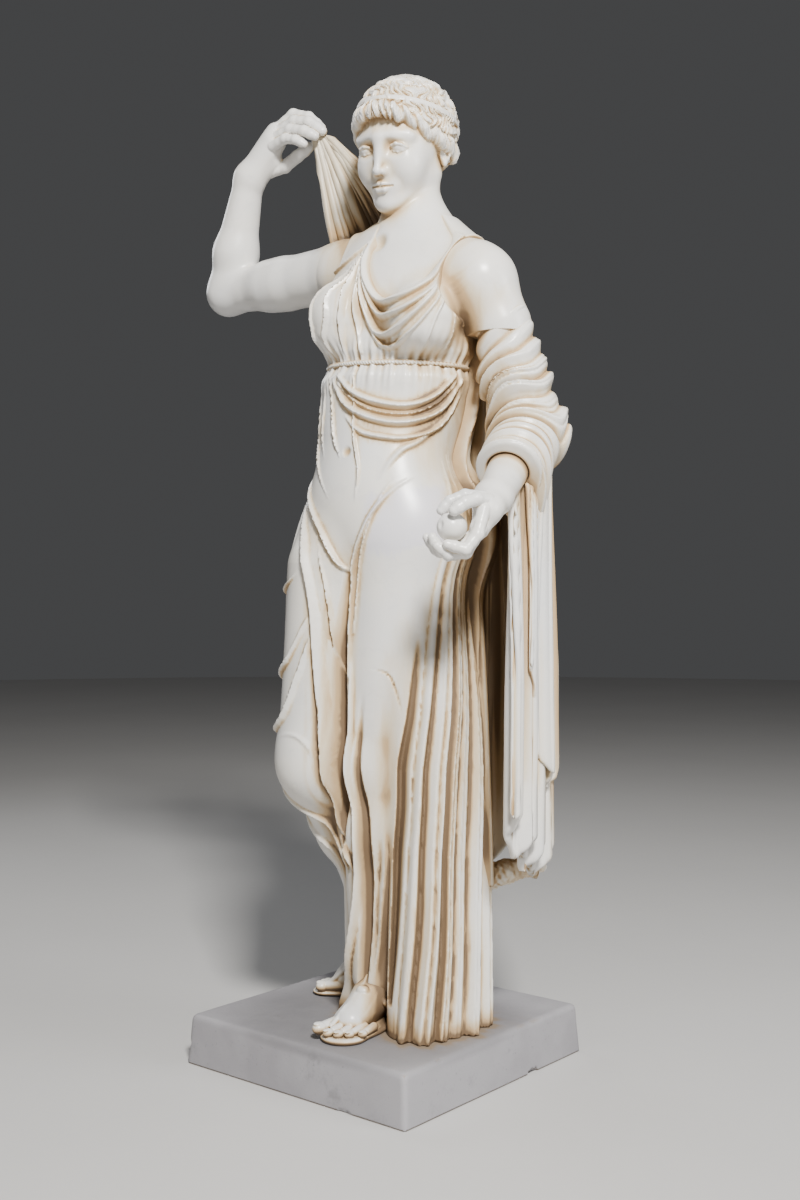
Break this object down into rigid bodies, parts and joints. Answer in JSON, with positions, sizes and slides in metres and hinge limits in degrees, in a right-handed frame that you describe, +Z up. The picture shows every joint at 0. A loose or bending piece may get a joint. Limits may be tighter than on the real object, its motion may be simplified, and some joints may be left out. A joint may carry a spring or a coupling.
{
  "type": "classical draped statue",
  "caption": "Life-size marble statue of a standing draped woman, drawing up a fold of her mantle with a raised hand and holding out a fruit, on a low square plinth.",
  "frame": {"origin": "centre of the plinth's flat underside", "axes": "+Z up; the plinth's front edge and the figure face -Y; the figure's left side is on +X"},
  "size_m": [0.7782, 0.495, 1.7042],
  "materials": {
    "white_marble": "warm white marble, rubbed to a soft satin gloss, with ochre-brown patina in the deep folds",
    "grey_marble": "matt grey marble with faint smudges"
  },
  "bodies": {
    "root": {"figure": "white_marble", "plinth": "grey_marble"}
  },
  "joints": []
}
